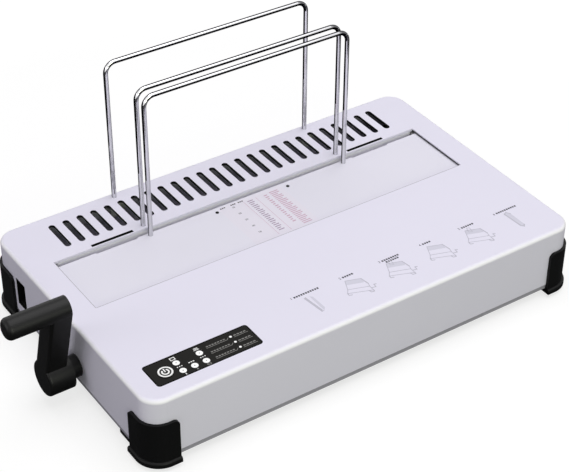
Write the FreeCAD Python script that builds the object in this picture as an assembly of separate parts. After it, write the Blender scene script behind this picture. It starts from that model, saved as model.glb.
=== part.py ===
import FreeCAD, Part
import math
import os

from FreeCAD import Vector

# Desktop thermal binding machine, in millimetres.
# +X runs along the trough, +Y to the rear, +Z up, and the desk is z = 0.

# Case
case_width = 430.0
case_depth = 264.0
top_z = 70.0
skirt_z = 13.0
corner_radius = 17.0
top_edge_radius = 3.5
shell_wall = 2.5
tray_inset = 1.0
tray_floor = 1.5
tray_z = 8.0

# Corner guards, feet and the screws that pass through both into the shell
guard_wall = 2.5
guard_gap = 0.15
guard_x = 25.5
guard_front_y = 30.0
guard_rear_y = 35.0
guard_top_z = 47.0
guard_bottom_z = 4.0
guard_flange = 22.0
guard_flange_inset = 1.0
guard_end_radius = 5.0
lip_out = 2.2
lip_height = 5.0
lip_round = 2.0
foot_radius = 9.0
foot_height = 6.0
foot_gap = 0.1
foot_inset = 15.0
boss_radius = 5.0
screw_radius = 2.0
screw_head_radius = 3.6
screw_head_height = 2.2
screw_gap = 0.1
case_screw_length = 24.0

# Window in the top, and the deck from the fixed jaw's face to the rear of the case
window_margin = 25.3
window_depth = 73.1
deck_depth = 63.4
deck_shift = 1.5
vent_count = 26
vent_pitch = 13.565
vent_width = 6.0
vent_setback = 13.2
vent_length = 35.4

# Sliding plate, its down-turned jaw and its guide rails
plate_thickness = 2.0
plate_drop = 3.0
plate_tuck = 22.5
plate_overlap = 4.5
trough_gap = 4.5
plate_travel = 45.0
jaw_flange_bottom_z = 32.0
notch_depth = 1.2
notch_height = 7.0
slide_gap = 0.3
rail_web = 3.2
rail_ledge = 5.5
rail_ledge_height = 2.5
rail_extra = 5.0

# Fixed jaw
jaw_sheet = 1.5
jaw_foot = 17.0
jaw_foot_inset = 14.0
jaw_end_gap = 3.0
tongue_width = 40.0
tongue_spread = 268.0
tongue_rise = 2.2
tongue_gap = 0.2
slot_relief = 1.3

# Wire racks
wire_radius = 2.1
rack_pitch = 204.4
rack_rise = 135.4
rack_bend = 9.5
rear_rack_inset = 7.0
middle_rack_setback = 5.0
front_rack_ahead = 7.6
socket_width = 14.0
socket_depth = 9.6
socket_height = 15.0
socket_floor = 1.5
wire_gap = 0.05
seat_gap = 0.1

# Heater under the trough
heater_end_gap = 4.7
heater_depth = 53.3
heater_thickness = 4.0
heater_top_z = 30.0
element_end = 30.0
element_depth = 32.0
element_thickness = 2.0
pillar_radius = 4.0
pillar_inset = 8.0
heater_screw_head = 3.0
thermostat_radius = 8.0
thermostat_height = 7.0
terminal_width = 6.3
terminal_thickness = 0.8
terminal_length = 8.0

# Crank, drive shaft and bearings
shaft_ahead = 81.9
shaft_z = 27.7
shaft_radius = 4.0
bearing_gap = 0.05
hub_radius = 16.0
hub_inner_x = 9.2
arm_outer_x = 31.8
arm_inner_x = 14.0
arm_length = 85.0
arm_lean = 15.0
arm_offset = 3.5
grip_radius = 9.4
grip_end_x = 68.0
crank_round = 2.4
shaft_seat_depth = 14.0
bush_radius = 9.8
bush_sleeve_radius = 7.0
bush_end_gap = 0.2
bush_nut_radius = 11.0
bush_nut_thickness = 4.0
bush_sleeve_extra = 2.0
set_screw_radius = 2.5
set_screw_length = 8.0
bracket_x = 45.0
bracket_sheet = 3.0
bracket_width = 27.0
bracket_foot = 17.0
bracket_crown = 14.0
bearing_radius = 7.0
bearing_collar = 2.0
clip_radius = 7.0
clip_thickness = 1.2
groove_depth = 0.8
clip_gap = 0.2

# Rack and pinion
gear_module = 1.0
pinion_teeth = 16
pressure_angle = 20.0
pinion_width = 8.0
rack_width = 6.0
rack_x = 60.0
addendum = 0.9
dedendum = 1.25
backlash = 0.3
rack_flange = 12.0
rack_flange_thickness = 3.0
pinion_bore_gap = 0.02

# Control panel, button, lamps and board
panel_left = 18.1
panel_front = 15.4
panel_width = 96.7
panel_depth = 27.4
panel_thickness = 1.2
panel_radius = 3.0
panel_ledge = 3.5
panel_gap = 0.1
button_x = 31.5
button_y = 27.7
button_radius = 6.4
button_proud = 0.6
button_flange = 1.0
button_flange_thickness = 2.0
button_gap = 0.2
button_travel = 1.0
stem_radius = 3.0
stem_length = 4.0
switch_side = 6.0
switch_height = 2.5
plunger_radius = 1.75
lamp_radius = 2.9
lamp_column = 44.2
lamp_step_x = 10.6
lamp_row = 22.3
lamp_step_y = 10.6
pilot_radius = 1.1
pilot_x = 96.4
pilot_y = 21.5
pilot_step = 7.4
lamp_gap = 0.1
board_thickness = 1.6
board_margin_x = 6.0
board_margin_y = 3.5
standoff_radius = 2.5
standoff_height = 9.5
board_screw_radius = 1.2
board_screw_head = 2.4
relay_size = Vector(19.0, 15.5, 15.0)

# Mains inlet in the left wall
inlet_rear_inset = 38.5
inlet_z = 21.0
inlet_width = 16.5
inlet_height = 28.0
inlet_flange = 3.5
inlet_flange_thickness = 3.0
inlet_depth = 21.5
inlet_wall = 2.0
socket_mouth_width = 16.0
socket_mouth_height = 24.4
socket_bevel = 4.0
pin_thickness = 2.0
pin_height = 4.0
pin_pitch = 14.0
pin_earth_shift = 4.0
pin_recess = 6.5
pin_tail = 8.0

# Places worked out from the sizes above
crank_reach = grip_end_x
lip_reach = guard_gap + guard_wall + lip_out
case_left = (crank_reach - case_width - lip_reach) / 2
case_right = case_left + case_width
case_front = -case_depth / 2
case_rear = case_depth / 2
case_middle = (case_left + case_right) / 2
deck_middle = case_middle + deck_shift
under_top = top_z - shell_wall
floor_z = tray_z + tray_floor
window_left = case_left + window_margin
window_right = case_right - window_margin
jaw_y = case_rear - deck_depth
window_y = jaw_y - window_depth
plate_top = top_z - plate_drop
plate_under = plate_top - plate_thickness
plate_y0 = window_y - plate_tuck
plate_y1 = jaw_y - trough_gap
plate_x0 = window_left - plate_overlap
plate_x1 = window_right + plate_overlap
shaft_at_y = jaw_y - shaft_ahead
rear_y = case_rear - rear_rack_inset
middle_y = jaw_y + middle_rack_setback
front_y = jaw_y - front_rack_ahead
pitch_radius = gear_module * pinion_teeth / 2
tooth_pitch = math.pi * gear_module
crank_turn = math.degrees(plate_travel / pitch_radius)


def box(x0, x1, y0, y1, z0, z1):
    return Part.makeBox(x1 - x0, y1 - y0, z1 - z0, Vector(x0, y0, z0))


def rod_z(x, y, z0, z1, radius):
    return Part.makeCylinder(radius, z1 - z0, Vector(x, y, z0), Vector(0, 0, 1))


def rod_x(x0, x1, y, z, radius):
    return Part.makeCylinder(radius, x1 - x0, Vector(x0, y, z), Vector(1, 0, 0))


def round_box(x0, x1, y0, y1, z0, z1, radius):
    block = box(x0, x1, y0, y1, z0, z1)
    upright = [e for e in block.Edges if abs(e.BoundBox.ZLength - (z1 - z0)) < 1e-6]
    return block.makeFillet(radius, upright)


def case_prism(offset, z0, z1):
    return round_box(case_left - offset, case_right + offset, case_front - offset,
                     case_rear + offset, z0, z1, corner_radius + offset)


def prism_x(points, x0, x1):
    corners = [Vector(x0, y, z) for y, z in points]
    face = Part.Face(Part.makePolygon(corners + corners[:1]))
    return face.extrude(Vector(x1 - x0, 0, 0))


def fuse(first, *others):
    return first.multiFuse(list(others)).removeSplitter()


def cut(first, *others):
    return first.cut(Part.makeCompound(list(others)))


def horizontal_edges(shape, z):
    return [e for e in shape.Edges if abs(e.BoundBox.ZMin - z) < 1e-4 and abs(e.BoundBox.ZMax - z) < 1e-4]


nodes = {}

# Screw bosses stand in the four corners, over the feet
foot_places = []
for x in (case_left + foot_inset, case_right - foot_inset):
    for y in (case_front + foot_inset, case_rear - foot_inset):
        foot_places.append((x, y))

# Top shell: a deep lid with its window, vents, slots and side openings
lid = case_prism(0, skirt_z, top_z)
lid = lid.makeFillet(top_edge_radius, horizontal_edges(lid, top_z))
shell = lid.cut(case_prism(-shell_wall, skirt_z, under_top))
pilot_length = case_screw_length
bosses = []
pilots = []
for x, y in foot_places:
    bosses.append(rod_z(x, y, floor_z, under_top, boss_radius))
    pilots.append(rod_z(x, y, floor_z, floor_z + pilot_length, screw_radius + wire_gap))
shell = cut(fuse(shell, *bosses), *pilots)

vent_y0 = jaw_y + vent_setback
vent_cuts = []
for i in range(vent_count):
    x = deck_middle + (i - (vent_count - 1) / 2) * vent_pitch
    slot = round_box(x - vent_width / 2, x + vent_width / 2, vent_y0, vent_y0 + vent_length,
                     under_top - 1, top_z + 1, vent_width / 2 - 0.01)
    vent_cuts.append(slot)
window = box(window_left, window_right, window_y, jaw_y, under_top - 1, top_z + 1)
shell = cut(shell, window, *vent_cuts)

tongue_y0 = jaw_y + jaw_sheet - tongue_gap
tongue_y1 = tongue_y0 + jaw_sheet
tongue_centres = [deck_middle + side * tongue_spread / 2 for side in (-1, 1)]
slot_cuts = []
for x in tongue_centres:
    half = tongue_width / 2 + tongue_gap
    slot_cuts.append(box(x - half, x + half, tongue_y0 - tongue_gap, tongue_y1 + tongue_gap + slot_relief,
                         under_top - 1, top_z + 1))
leg_xs = [deck_middle - rack_pitch / 2, deck_middle + rack_pitch / 2]
leg_holes = []
for x in leg_xs:
    for y in (rear_y, middle_y):
        leg_holes.append(rod_z(x, y, under_top - 1, top_z + 1, wire_radius + wire_gap))
shell = cut(shell, *slot_cuts, *leg_holes)

# The panel sits in a shallow recess with an opening under it
panel_x0 = case_left + panel_left
panel_x1 = panel_x0 + panel_width
panel_y0 = case_front + panel_front
panel_y1 = panel_y0 + panel_depth
panel_z = top_z - panel_thickness
recess = round_box(panel_x0 - panel_gap, panel_x1 + panel_gap, panel_y0 - panel_gap,
                   panel_y1 + panel_gap, panel_z, top_z + 1, panel_radius + panel_gap)
panel_opening = box(panel_x0 + panel_ledge, panel_x1 - panel_ledge, panel_y0 + panel_ledge,
                    panel_y1 - panel_ledge, under_top - 1, top_z)
bush_hole = rod_x(case_left - 1, case_left + shell_wall + 1, shaft_at_y, shaft_z,
                  bush_sleeve_radius + seat_gap)
inlet_y1 = case_rear - inlet_rear_inset
inlet_y0 = inlet_y1 - inlet_width
inlet_z1 = inlet_z + inlet_height
inlet_hole = box(case_left - 1, case_left + shell_wall + 1, inlet_y0, inlet_y1, inlet_z, inlet_z1)
nodes["top_shell"] = cut(shell, recess, panel_opening, bush_hole, inlet_hole)

# Base tray: a shallow pan whose rim carries the shell's skirt
tray = case_prism(-tray_inset, tray_z, skirt_z)
tray = tray.cut(case_prism(-shell_wall, floor_z, skirt_z))
tray_holes = []
for x, y in foot_places:
    tray_holes.append(rod_z(x, y, tray_z, floor_z, screw_radius + screw_gap))

# Corner guards: an upright wall round each corner, a lip and a foot plate
wall_ring = case_prism(guard_gap + guard_wall, guard_bottom_z, guard_top_z)
wall_ring = wall_ring.cut(case_prism(guard_gap, tray_z, guard_top_z))
lip_ring = case_prism(lip_reach, guard_bottom_z, guard_bottom_z + lip_height)
lip_ring = lip_ring.makeFillet(lip_round, horizontal_edges(lip_ring, guard_bottom_z + lip_height))
lip_ring = lip_ring.cut(case_prism(guard_gap, tray_z, guard_top_z))
foot_z = foot_height
guard_names = ("front_left", "rear_left", "front_right", "rear_right")
feet = []
case_screws = []
for name, (x, y) in zip(guard_names, foot_places):
    to_x = 1 if "left" in name else -1
    to_y = 1 if "front" in name else -1
    edge_x = case_left if to_x > 0 else case_right
    edge_y = case_front if to_y > 0 else case_rear
    guard_y = guard_front_y if to_y > 0 else guard_rear_y
    out_x = edge_x - to_x * (lip_reach + 1)
    out_y = edge_y - to_y * (lip_reach + 1)
    wall_x = sorted((out_x, edge_x + to_x * guard_x))
    wall_y = sorted((out_y, edge_y + to_y * guard_y))
    corner = box(*wall_x, *wall_y, guard_bottom_z, guard_top_z)
    rounded = []
    for e in corner.Edges:
        middle = e.CenterOfMass
        inner_x = abs(middle.x - (edge_x + to_x * guard_x)) < 1e-6
        inner_y = abs(middle.y - (edge_y + to_y * guard_y)) < 1e-6
        if abs(middle.z - guard_top_z) < 1e-6 and (inner_x or inner_y):
            rounded.append(e)
    corner = corner.makeFillet(guard_end_radius, rounded)
    flange_y = sorted((out_y, edge_y + to_y * (guard_y + guard_flange)))
    foot_plate = case_prism(-guard_flange_inset, guard_bottom_z, tray_z)
    foot_plate = foot_plate.common(box(*wall_x, *flange_y, guard_bottom_z, tray_z))
    guard = fuse(wall_ring.common(corner), foot_plate, lip_ring.common(corner))
    pocket = rod_z(x, y, guard_bottom_z, foot_z, foot_radius + foot_gap)
    guard = cut(guard, pocket, rod_z(x, y, foot_z, tray_z, screw_radius + screw_gap))
    nodes["corner_guard_" + name] = guard
    foot = rod_z(x, y, 0, foot_z, foot_radius)
    feet.append(foot.cut(rod_z(x, y, 0, foot_z, screw_head_radius + screw_gap)))
    head = rod_z(x, y, foot_z - screw_head_height, foot_z, screw_head_radius)
    case_screws.append(fuse(head, rod_z(x, y, foot_z, foot_z + case_screw_length, screw_radius)))
nodes["foot_pads"] = Part.makeCompound(feet)
nodes["case_screws"] = Part.makeCompound(case_screws)

# Sliding plate with its down-turned front jaw
plate = box(plate_x0, plate_x1, plate_y0, plate_y1, plate_under, plate_top)
jaw_x0 = window_left + jaw_end_gap
jaw_x1 = window_right - jaw_end_gap
jaw_flange = box(jaw_x0, jaw_x1, plate_y1 - plate_thickness, plate_y1, jaw_flange_bottom_z, plate_under)
plate = fuse(plate, jaw_flange)
plate_cuts = []
for x in tongue_centres:
    half = tongue_width / 2 + tongue_gap
    plate_cuts.append(box(x - half, x + half, plate_y1 - notch_depth, plate_y1,
                          plate_top - notch_height, plate_top))
for x in leg_xs:
    half = socket_width / 2 + seat_gap
    plate_cuts.append(box(x - half, x + half, plate_y1 - plate_thickness, plate_y1,
                          plate_under - socket_height - seat_gap, plate_under))
    plate_cuts.append(rod_z(x, front_y, plate_under, plate_top, wire_radius + wire_gap))
nodes["sliding_plate"] = cut(plate, *plate_cuts)


# Sockets under the deck hold the wire ends, and each leg stands on a socket floor
def socket(x, y, front, z):
    block = box(x - socket_width / 2, x + socket_width / 2, front, front + socket_depth,
                z - socket_height, z)
    return block.cut(rod_z(x, y, z - socket_height + socket_floor, z, wire_radius + wire_gap))


front_socket_y = plate_y1 - socket_depth - seat_gap
middle_socket_y = jaw_y + jaw_sheet + seat_gap
rear_socket_y = case_rear - shell_wall - socket_depth - seat_gap
front_sockets = []
deck_sockets = []
for x in leg_xs:
    front_sockets.append(socket(x, front_y, front_socket_y, plate_under))
    deck_sockets.append(socket(x, middle_y, middle_socket_y, under_top))
    deck_sockets.append(socket(x, rear_y, rear_socket_y, under_top))
nodes["front_rack_sockets"] = Part.makeCompound(front_sockets)
nodes["deck_rack_sockets"] = Part.makeCompound(deck_sockets)


# Each wire rack is one rod bent into an inverted U
def wire_rack(y, foot):
    left, right = leg_xs
    crown = top_z + rack_rise
    k = rack_bend * (1 - math.sqrt(0.5))
    a = Vector(left, y, foot)
    b = Vector(left, y, crown - rack_bend)
    c = Vector(left + rack_bend, y, crown)
    d = Vector(right - rack_bend, y, crown)
    e = Vector(right, y, crown - rack_bend)
    f = Vector(right, y, foot)
    first = Part.Arc(b, Vector(left + k, y, crown - k), c).toShape()
    second = Part.Arc(d, Vector(right - k, y, crown - k), e).toShape()
    path = Part.Wire([Part.makeLine(a, b), first, Part.makeLine(c, d), second, Part.makeLine(e, f)])
    ring = Part.Wire(Part.makeCircle(wire_radius, a, Vector(0, 0, 1)))
    return path.makePipeShell([ring], True, False)


nodes["front_wire_rack"] = wire_rack(front_y, plate_under - socket_height + socket_floor)
nodes["middle_wire_rack"] = wire_rack(middle_y, under_top - socket_height + socket_floor)
nodes["rear_wire_rack"] = wire_rack(rear_y, under_top - socket_height + socket_floor)

# Fixed jaw: an upright sheet on the tray with two tongues in the deck slots
jaw = box(jaw_x0, jaw_x1, jaw_y, jaw_y + jaw_sheet, floor_z, under_top - seat_gap)
foot_x0 = jaw_x0 + jaw_foot_inset
foot_x1 = jaw_x1 - jaw_foot_inset
jaw_foot_plate = box(foot_x0, foot_x1, jaw_y, jaw_y + jaw_foot, floor_z, floor_z + jaw_sheet)
tongues = []
for x in tongue_centres:
    tongues.append(box(x - tongue_width / 2, x + tongue_width / 2, tongue_y0, tongue_y1,
                       under_top - notch_height, top_z - tongue_rise))
jaw = fuse(jaw, jaw_foot_plate, *tongues)
jaw_screw_y = jaw_y + jaw_sheet + (jaw_foot - jaw_sheet) / 2
jaw_screws = []
jaw_holes = []
for x in (foot_x0 + bracket_foot, case_middle, foot_x1 - bracket_foot):
    seat = floor_z + jaw_sheet
    head = rod_z(x, jaw_screw_y, seat, seat + screw_head_height, screw_head_radius)
    jaw_screws.append(fuse(head, rod_z(x, jaw_screw_y, tray_z, seat, screw_radius)))
    jaw_holes.append(rod_z(x, jaw_screw_y, tray_z, seat, screw_radius + screw_gap))
nodes["fixed_jaw"] = cut(jaw, *jaw_holes)
nodes["jaw_screws"] = Part.makeCompound(jaw_screws)
tray_holes += jaw_holes

# Heating plate on four pillars, with its strip element and thermostat below
heater_x0 = window_left + heater_end_gap
heater_x1 = window_right - heater_end_gap
heater_y1 = jaw_y - slide_gap
heater_y0 = heater_y1 - heater_depth
heater_under = heater_top_z - heater_thickness
heater = box(heater_x0, heater_x1, heater_y0, heater_y1, heater_under, heater_top_z)
pillars = []
heater_screws = []
heater_cuts = []
for x in (heater_x0 + pillar_inset, heater_x1 - pillar_inset):
    for y in (heater_y0 + pillar_inset, heater_y1 - pillar_inset):
        pillar = rod_z(x, y, floor_z, heater_under, pillar_radius)
        shank_z = heater_under - terminal_length
        pillars.append(pillar.cut(rod_z(x, y, shank_z, heater_under, screw_radius + wire_gap)))
        head_z = heater_top_z - screw_head_height
        head = rod_z(x, y, head_z, heater_top_z, heater_screw_head)
        heater_screws.append(fuse(head, rod_z(x, y, shank_z, head_z, screw_radius)))
        heater_cuts.append(rod_z(x, y, head_z, heater_top_z, heater_screw_head + screw_gap))
        heater_cuts.append(rod_z(x, y, heater_under, head_z, screw_radius + screw_gap))
nodes["heating_plate"] = cut(heater, *heater_cuts)
nodes["heater_pillars"] = Part.makeCompound(pillars)
nodes["heater_screws"] = Part.makeCompound(heater_screws)
heater_mid_y = (heater_y0 + heater_y1) / 2
element_under = heater_under - element_thickness
nodes["heater_element"] = box(heater_x0 + element_end, heater_x1 - element_end,
                              heater_mid_y - element_depth / 2, heater_mid_y + element_depth / 2,
                              element_under, heater_under)
thermostat_under = element_under - thermostat_height
thermostat = rod_z(case_middle, heater_mid_y, thermostat_under, element_under, thermostat_radius)
tabs = []
for side in (-1, 1):
    tab_x0 = case_middle + min(side * thermostat_radius / 2, side * (thermostat_radius + terminal_length))
    tab_x1 = case_middle + max(side * thermostat_radius / 2, side * (thermostat_radius + terminal_length))
    tabs.append(box(tab_x0, tab_x1, heater_mid_y - terminal_width / 2, heater_mid_y + terminal_width / 2,
                    thermostat_under, thermostat_under + terminal_thickness))
nodes["thermostat"] = fuse(thermostat, *tabs)

# Crank: hub, leaning arm and grip in one moulding, with a blind seat for the shaft
lean = math.radians(arm_lean)
grip_y = shaft_at_y - arm_length * math.sin(lean)
grip_z = shaft_z + arm_length * math.cos(lean)
arm_out = case_left - arm_outer_x
arm_in = case_left - arm_inner_x
hub_in = case_left - hub_inner_x
along = Vector(0, -math.sin(lean), math.cos(lean))
across = Vector(0, math.cos(lean), math.sin(lean))
low = Vector(0, shaft_at_y, shaft_z)
high = Vector(0, grip_y, grip_z)
arm_foot = low + Vector(0, arm_offset, 0)
arm_corners = [arm_foot - across * grip_radius, arm_foot + across * grip_radius,
               high + across * grip_radius, high - across * grip_radius]
arm = prism_x([(p.y, p.z) for p in arm_corners], arm_out, arm_in)
hub = rod_x(arm_out, hub_in, shaft_at_y, shaft_z, hub_radius)
grip = rod_x(case_left - grip_end_x, arm_in, grip_y, grip_z, grip_radius)
grip_face = [e for e in grip.Edges if abs(e.BoundBox.XMax - (case_left - grip_end_x)) < 1e-6]
grip = grip.makeFillet(2 * crank_round, grip_face)
hub_face = [e for e in hub.Edges if abs(e.BoundBox.XMax - arm_out) < 1e-6 and e.BoundBox.YLength > 1]
hub = hub.makeFillet(crank_round, hub_face)
arm_face = [e for e in arm.Edges if abs(e.BoundBox.XMax - arm_out) < 1e-6]
arm_sides = [e for e in arm_face if abs(e.tangentAt(e.FirstParameter).dot(across)) < 0.5]
arm = arm.makeFillet(crank_round, arm_sides)
shaft_end = hub_in - shaft_seat_depth
shaft_seat = rod_x(shaft_end, hub_in, shaft_at_y, shaft_z, shaft_radius + pinion_bore_gap)
set_x = (hub_in + shaft_end) / 2
set_hole = Part.makeCylinder(set_screw_radius + wire_gap, hub_radius - shaft_radius,
                             low + Vector(set_x, 0, 0) - along * hub_radius, along)
nodes["crank_handle"] = cut(fuse(hub, arm, grip), shaft_seat, set_hole)
set_start = low + Vector(set_x, 0, 0) - along * (shaft_radius + seat_gap)
nodes["crank_set_screw"] = Part.makeCylinder(set_screw_radius, set_screw_length, set_start, along * -1)

# Bush through the left wall, held by a ring nut inside
sleeve_end = case_left + shell_wall + bush_nut_thickness + bush_sleeve_extra
bush = fuse(rod_x(hub_in + bush_end_gap, case_left, shaft_at_y, shaft_z, bush_radius),
            rod_x(case_left, sleeve_end, shaft_at_y, shaft_z, bush_sleeve_radius))
bush_bore = rod_x(hub_in, sleeve_end, shaft_at_y, shaft_z, shaft_radius + bearing_gap)
nodes["crank_bush"] = bush.cut(bush_bore)
nut_x = case_left + shell_wall
nut = rod_x(nut_x, nut_x + bush_nut_thickness, shaft_at_y, shaft_z, bush_nut_radius)
nodes["bush_nut"] = nut.cut(rod_x(nut_x, nut_x + bush_nut_thickness, shaft_at_y, shaft_z,
                                  bush_sleeve_radius + wire_gap))

# Bearing brackets stand on the tray, mirrored about the middle of the case
bracket_screws = []
bearings = []
clip_places = []
for name, side in (("left", -1), ("right", 1)):
    centre = case_middle + side * (case_width / 2 - bracket_x)
    web_x = sorted((centre, centre + side * -bracket_sheet))
    foot_x = sorted((centre, centre + side * (bracket_foot - bracket_sheet)))
    half = bracket_width / 2
    web = box(*web_x, shaft_at_y - half, shaft_at_y + half, floor_z, shaft_z + bracket_crown)
    foot = box(*foot_x, shaft_at_y - half, shaft_at_y + half, floor_z, floor_z + bracket_sheet)
    bore = rod_x(web_x[0], web_x[1], shaft_at_y, shaft_z, bearing_radius + wire_gap)
    holes = []
    for y in (shaft_at_y - half / 2, shaft_at_y + half / 2):
        x = centre + side * bracket_foot / 2
        seat = floor_z + bracket_sheet
        head = rod_z(x, y, seat, seat + screw_head_height, screw_head_radius)
        bracket_screws.append(fuse(head, rod_z(x, y, tray_z, seat, screw_radius)))
        holes.append(rod_z(x, y, tray_z, seat, screw_radius + screw_gap))
    tray_holes += holes
    nodes[name + "_bearing_bracket"] = cut(fuse(web, foot), bore, *holes)
    inner = centre - side * bracket_sheet
    collar_x = sorted((inner, inner - side * bearing_collar))
    bearing = fuse(rod_x(*web_x, shaft_at_y, shaft_z, bearing_radius),
                   rod_x(*collar_x, shaft_at_y, shaft_z, bearing_radius + bearing_collar))
    ends = sorted((centre, collar_x[0], collar_x[1]))
    journal = rod_x(ends[0], ends[-1], shaft_at_y, shaft_z, shaft_radius + bearing_gap)
    bearings.append(bearing.cut(journal))
    clip_x = sorted((centre + side * clip_gap, centre + side * (clip_gap + clip_thickness)))
    clip_places.append(clip_x)
nodes["bracket_screws"] = Part.makeCompound(bracket_screws)
nodes["shaft_bearings"] = Part.makeCompound(bearings)
nodes["base_tray"] = cut(tray, *tray_holes)

# Drive shaft, from the crank to the right bracket, with a groove for each clip
shaft_stop = clip_places[1][1] + clip_thickness
shaft = rod_x(shaft_end, shaft_stop, shaft_at_y, shaft_z, shaft_radius)
clips = []
grooves = []
for x0, x1 in clip_places:
    groove_radius = shaft_radius - groove_depth
    ring = rod_x(x0, x1, shaft_at_y, shaft_z, shaft_radius)
    grooves.append(ring.cut(rod_x(x0, x1, shaft_at_y, shaft_z, groove_radius)))
    clip = rod_x(x0, x1, shaft_at_y, shaft_z, clip_radius)
    mouth = box(x0, x1, shaft_at_y - groove_radius, shaft_at_y + groove_radius,
                shaft_z - clip_radius, shaft_z)
    clips.append(cut(clip, rod_x(x0, x1, shaft_at_y, shaft_z, groove_radius + pinion_bore_gap), mouth))
nodes["drive_shaft"] = cut(shaft, *grooves)
nodes["shaft_clips"] = Part.makeCompound(clips)


# Pinion: involute flanks from the base circle to the tip, thinned by the backlash
def pinion(x0):
    angle = math.radians(pressure_angle)
    base = pitch_radius * math.cos(angle)
    tip = pitch_radius + gear_module
    root = pitch_radius - dedendum * gear_module
    half_pitch = (tooth_pitch / 2 - backlash) / 2 / pitch_radius
    involute = math.tan(angle) - angle
    flank = []
    for step in range(6):
        radius = base + (tip - base) * step / 5
        roll = math.acos(base / radius)
        flank.append((radius, half_pitch + involute - (math.tan(roll) - roll)))
    outline = []
    for tooth in range(pinion_teeth):
        centre = math.pi / 2 + (tooth + 0.5) * 2 * math.pi / pinion_teeth
        side = [(root, flank[0][1])] + flank
        for radius, turn in side:
            outline.append((radius, centre - turn))
        for radius, turn in reversed(side):
            outline.append((radius, centre + turn))
    points = [(shaft_at_y + r * math.cos(t), shaft_z + r * math.sin(t)) for r, t in outline]
    gear = prism_x(points, x0, x0 + pinion_width)
    return gear.cut(rod_x(x0, x0 + pinion_width, shaft_at_y, shaft_z, shaft_radius + pinion_bore_gap))


# Rack bar: a toothed plate under the sliding plate, with a flange against it
def rack_bar(x, side):
    pitch_z = shaft_z + pitch_radius
    tip_z = pitch_z - addendum * gear_module
    root_z = pitch_z + dedendum * gear_module
    slope = math.tan(math.radians(pressure_angle))
    teeth = math.ceil((plate_travel + 2 * pitch_radius) / tooth_pitch)
    behind = math.ceil(pitch_radius / tooth_pitch)
    half = tooth_pitch / 4
    at_tip = half - (pitch_z - tip_z) * slope
    at_root = half + (root_z - pitch_z) * slope
    first = shaft_at_y - behind * tooth_pitch
    last = first + (teeth - 1) * tooth_pitch
    points = [(last + tooth_pitch, plate_under), (first - tooth_pitch, plate_under),
              (first - tooth_pitch, root_z)]
    for i in range(teeth):
        y = first + i * tooth_pitch
        points += [(y - at_root, root_z), (y - at_tip, tip_z), (y + at_tip, tip_z), (y + at_root, root_z)]
    points.append((last + tooth_pitch, root_z))
    bar = prism_x(points, x - rack_width / 2, x + rack_width / 2)
    flange_x = sorted((x, x - side * (rack_width / 2 + rack_flange)))
    flange = box(*flange_x, first - tooth_pitch, last + tooth_pitch,
                 plate_under - rack_flange_thickness, plate_under)
    return fuse(bar, flange)


for name, side in (("left", -1), ("right", 1)):
    x = case_middle + side * (case_width / 2 - rack_x)
    nodes[name + "_pinion"] = pinion(x - pinion_width / 2)
    nodes[name + "_rack_bar"] = rack_bar(x, side)

# Guide rails under the top carry the plate's two edges
rail_y0 = plate_y0 - plate_travel - rail_extra
rail_y1 = jaw_y + jaw_foot / 2
rail_under = plate_under - slide_gap - rail_ledge_height
for name, side, edge in (("left", -1, plate_x0), ("right", 1, plate_x1)):
    web_x = sorted((edge + side * slide_gap, edge + side * (slide_gap + rail_web)))
    ledge_x = sorted((edge + side * (slide_gap + rail_web), edge - side * rail_ledge))
    web = box(*web_x, rail_y0, rail_y1, rail_under, under_top)
    ledge = box(*ledge_x, rail_y0, rail_y1, rail_under, plate_under - slide_gap)
    nodes[name + "_guide_rail"] = fuse(web, ledge)

# Control panel with its button and lamp holes
button_at = (case_left + button_x, case_front + button_y)
lamp_places = []
for column, row in ((0, 0), (0, 1), (1, 0), (2, 0), (2, 1)):
    lamp_places.append((case_left + lamp_column + column * lamp_step_x,
                        case_front + lamp_row + row * lamp_step_y, lamp_radius))
for i in range(3):
    lamp_places.append((case_left + pilot_x, case_front + pilot_y + i * pilot_step, pilot_radius))
panel = round_box(panel_x0, panel_x1, panel_y0, panel_y1, panel_z, top_z, panel_radius)
panel_holes = [rod_z(*button_at, panel_z, top_z, button_radius + button_gap)]
for x, y, radius in lamp_places:
    panel_holes.append(rod_z(x, y, panel_z, top_z, radius + lamp_gap))
nodes["control_panel"] = cut(panel, *panel_holes)

# Power button: a cap in the panel, a flange that keeps it in and a stem
flange_top = panel_z - button_gap
flange_under = flange_top - button_flange_thickness
stem_under = flange_under - stem_length
cap = rod_z(*button_at, flange_top, top_z + button_proud, button_radius)
cap_flange = rod_z(*button_at, flange_under, flange_top, button_radius + button_flange)
nodes["power_button"] = fuse(cap, cap_flange, rod_z(*button_at, stem_under, flange_under, stem_radius))

# Board hung on standoffs, with the switch, the lamps and the relay
board_top = under_top - standoff_height
board_under = board_top - board_thickness
board_x0 = panel_x0 + board_margin_x
board_x1 = panel_x1 - board_margin_x / 2
board_y0 = panel_y0 - board_margin_y
board_y1 = panel_y1 + board_margin_y
board = box(board_x0, board_x1, board_y0, board_y1, board_under, board_top)
standoffs = []
board_screws = []
board_holes = []
for x in (board_x0 + 4 * standoff_radius, board_x1 - 2 * standoff_radius):
    for y in (board_y0 + standoff_radius, board_y1 - standoff_radius):
        post = rod_z(x, y, board_top, under_top, standoff_radius)
        standoffs.append(post.cut(rod_z(x, y, board_top, board_top + standoff_height / 2,
                                        board_screw_radius + wire_gap)))
        head = rod_z(x, y, board_under - board_thickness, board_under, board_screw_head)
        shank = rod_z(x, y, board_under, board_top + standoff_height / 2, board_screw_radius)
        board_screws.append(fuse(head, shank))
        board_holes.append(rod_z(x, y, board_under, board_top, board_screw_radius + wire_gap))
nodes["control_board"] = cut(board, *board_holes)
nodes["board_standoffs"] = Part.makeCompound(standoffs)
nodes["board_screws"] = Part.makeCompound(board_screws)
switch_x, switch_y = button_at
plunger_top = stem_under - button_travel - button_gap / 2
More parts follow.
